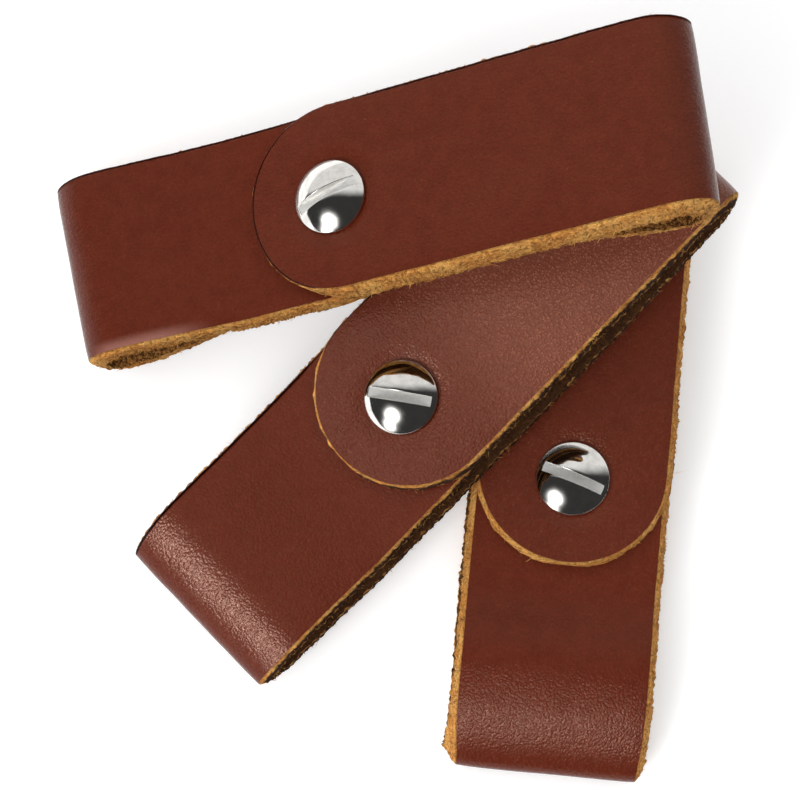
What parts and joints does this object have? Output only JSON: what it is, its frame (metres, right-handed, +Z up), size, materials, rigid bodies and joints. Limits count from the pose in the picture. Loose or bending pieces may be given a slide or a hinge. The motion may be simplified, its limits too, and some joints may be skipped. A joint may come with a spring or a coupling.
{
  "type": "leather belt keeper loops",
  "caption": "Leather belt keepers fanned on a table: folded straps, each with a rounded flap held down by a slotted dome-head binding screw.",
  "frame": {"origin": "on the table plane, under the screw axis of the bottom keeper", "axes": "+Z up from the table; +X right and +Y away from a person who looks at the fan with the bottom keeper's screw towards them"},
  "size_m": [0.0908, 0.0949, 0.0449],
  "materials": {
    "leather": "semi_gloss",
    "nickel": "polished"
  },
  "bodies": {
    "bottom_keeper": {"bottom_strap": "leather"},
    "bottom_screw": {"bottom_screw": "nickel"},
    "bottom_post": {"bottom_post": "nickel"},
    "middle_keeper": {"middle_strap": "leather"},
    "middle_screw": {"middle_screw": "nickel"},
    "middle_post": {"middle_post": "nickel"},
    "top_keeper": {"top_strap": "leather"},
    "top_screw": {"top_screw": "nickel"},
    "top_post": {"top_post": "nickel"}
  },
  "joints": [
    {"name": "middle_lift", "type": "slide", "parent": "bottom_keeper", "child": "middle_keeper", "axis": [0, 0, 1], "range_m": [0, 0.06]},
    {"name": "top_lift", "type": "slide", "parent": "middle_keeper", "child": "top_keeper", "axis": [0, 0, 1], "range_m": [0, 0.06]},
    {"name": "bottom_screw_turn", "type": "hinge", "parent": "bottom_keeper", "child": "bottom_screw", "pos_m": [0, 0, 0.0095], "axis": [0, 0, 1], "range_deg": [0, 450]},
    {"name": "bottom_post_travel", "type": "slide", "parent": "bottom_keeper", "child": "bottom_post", "axis": [0, 0, -1], "range_m": [0, 0.000992]},
    {"name": "middle_screw_turn", "type": "hinge", "parent": "middle_keeper", "child": "middle_screw", "pos_m": [-0.02272, 0.00969, 0.01789], "axis": [-0.2128, -0.0532, 0.9756], "range_deg": [0, 450]},
    {"name": "middle_post_travel", "type": "slide", "parent": "middle_keeper", "child": "middle_post", "axis": [0.2128, 0.0532, -0.9756], "range_m": [0, 0.000992]},
    {"name": "top_screw_turn", "type": "hinge", "parent": "top_keeper", "child": "top_screw", "pos_m": [-0.03183, 0.03465, 0.02538], "axis": [-0.4036, 0.0793, 0.9115], "range_deg": [0, 450]},
    {"name": "top_post_travel", "type": "slide", "parent": "top_keeper", "child": "top_post", "axis": [0.4036, -0.0793, -0.9115], "range_m": [0, 0.000992]}
  ],
  "couplings": [
    {"joint": "bottom_screw_turn", "follows": "bottom_post_travel", "rad_per_m": 7915.8},
    {"joint": "middle_screw_turn", "follows": "middle_post_travel", "rad_per_m": 7915.8},
    {"joint": "top_screw_turn", "follows": "top_post_travel", "rad_per_m": 7915.8}
  ]
}
